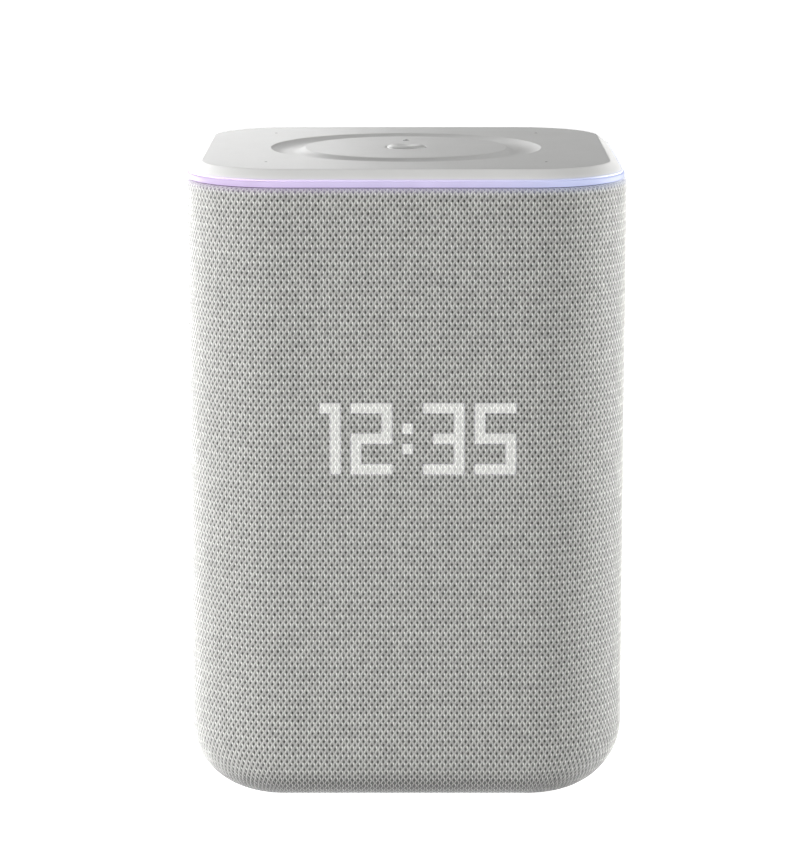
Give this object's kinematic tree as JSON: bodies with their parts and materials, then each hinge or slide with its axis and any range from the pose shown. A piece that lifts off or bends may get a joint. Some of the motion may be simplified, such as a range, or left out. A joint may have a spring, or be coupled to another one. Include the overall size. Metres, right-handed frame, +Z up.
{
  "type": "smart speaker",
  "caption": "Rounded-box smart speaker in a knitted sleeve, with a flat cap, finger channel, central button, lit ring and dot clock display.",
  "frame": {"origin": "middle of the foot's underside, at the centre of the object's lowest plane", "axes": "+Z up, the display and the woofer face -Y, +X to the right seen from the front"},
  "size_m": [0.148, 0.148, 0.2188],
  "materials": {
    "knit": "light warm grey knitted polyester",
    "cap": "fine satin light grey",
    "button": "satin light grey, slightly smoother than the cap",
    "diffuser": "milky, lit lilac to periwinkle",
    "inner_plastic": "moulded black",
    "cabinet": "moulded dark grey",
    "base": "moulded mid grey",
    "soft_rubber": "matte black",
    "board": "solder mask green",
    "led": "clear cast resin over white reflectors",
    "screen": "frosted white sheet",
    "steel": "pressed sheet",
    "zinc": "zinc plated",
    "ferrite": "sintered, dull",
    "aluminium": "extruded, plain",
    "cone": "pressed paper and polymer",
    "spider": "resin-dipped cotton",
    "copper": "bare copper",
    "wire": "red insulation",
    "ribbon": "white polymer film",
    "component": "black moulding compound"
  },
  "bodies": {
    "housing": {"base_plate": "base", "base_screw_1": "zinc", "base_screw_2": "zinc", "base_screw_3": "zinc", "base_screw_4": "zinc", "button_switch": "steel", "cabinet_body": "cabinet", "cabinet_lid": "cabinet", "cabinet_seal": "soft_rubber", "control_board": "board", "control_ribbon": "ribbon", "display_board": "board", "display_diffuser": "screen", "display_mask": "inner_plastic", "display_matrix": "led", "fabric_sleeve": "knit", "foot_ring": "soft_rubber", "grille_frame": "inner_plastic", "heat_sink": "aluminium", "io_pocket": "inner_plastic", "light_ring": "diffuser", "main_board": "board", "mic_gasket_1": "soft_rubber", "mic_gasket_2": "soft_rubber", "mic_gasket_3": "soft_rubber", "mic_gasket_4": "soft_rubber", "mute_switch": "component", "passive_left_frame": "inner_plastic", "passive_left_surround": "soft_rubber", "passive_right_frame": "inner_plastic", "passive_right_surround": "soft_rubber", "power_inlet": "component", "status_lens": "diffuser", "top_plate": "cap", "top_tray": "inner_plastic", "touch_film": "copper", "tray_screw_1": "zinc", "tray_screw_2": "zinc", "tray_screw_3": "zinc", "tray_screw_4": "zinc", "tweeter_left_body": "inner_plastic", "tweeter_left_motor": "zinc", "tweeter_right_body": "inner_plastic", "tweeter_right_motor": "zinc", "wire_grommet": "soft_rubber", "woofer_basket": "steel", "woofer_cable": "wire", "woofer_front_plate": "zinc", "woofer_magnet": "ferrite", "woofer_spider": "spider", "woofer_surround": "soft_rubber", "woofer_yoke": "zinc"},
    "action_button": {"action_button": "button"},
    "mute_button": {"mute_button": "cap"},
    "woofer_moving": {"woofer_cone": "cone", "voice_coil": "copper"},
    "passive_left_moving": {"passive_left_diaphragm": "cone"},
    "passive_right_moving": {"passive_right_diaphragm": "cone"},
    "tweeter_left_moving": {"tweeter_left_dome": "cone"},
    "tweeter_right_moving": {"tweeter_right_dome": "cone"}
  },
  "joints": [
    {"name": "action_press", "type": "slide", "parent": "housing", "child": "action_button", "axis": [0, 0, -1], "range_m": [0, 0.0006], "stiffness_N_per_m": 1500, "springref_m": -0.0003},
    {"name": "mute_press", "type": "slide", "parent": "housing", "child": "mute_button", "axis": [0, -1, 0], "range_m": [0, 0.0008], "stiffness_N_per_m": 1200, "springref_m": -0.0003},
    {"name": "woofer_stroke", "type": "slide", "parent": "housing", "child": "woofer_moving", "axis": [0, -1, 0], "range_m": [-0.004, 0.004], "stiffness_N_per_m": 1200, "deforming": ["woofer_surround", "woofer_spider"]},
    {"name": "passive_left_stroke", "type": "slide", "parent": "housing", "child": "passive_left_moving", "axis": [-1, 0, 0], "range_m": [-0.004, 0.004], "stiffness_N_per_m": 700, "deforming": ["passive_left_surround"]},
    {"name": "passive_right_stroke", "type": "slide", "parent": "housing", "child": "passive_right_moving", "axis": [1, 0, 0], "range_m": [-0.004, 0.004], "stiffness_N_per_m": 700, "deforming": ["passive_right_surround"]},
    {"name": "tweeter_left_stroke", "type": "slide", "parent": "housing", "child": "tweeter_left_moving", "axis": [0, -1, 0], "range_m": [-0.00025, 0.00025], "stiffness_N_per_m": 2000},
    {"name": "tweeter_right_stroke", "type": "slide", "parent": "housing", "child": "tweeter_right_moving", "axis": [0, -1, 0], "range_m": [-0.00025, 0.00025], "stiffness_N_per_m": 2000}
  ]
}
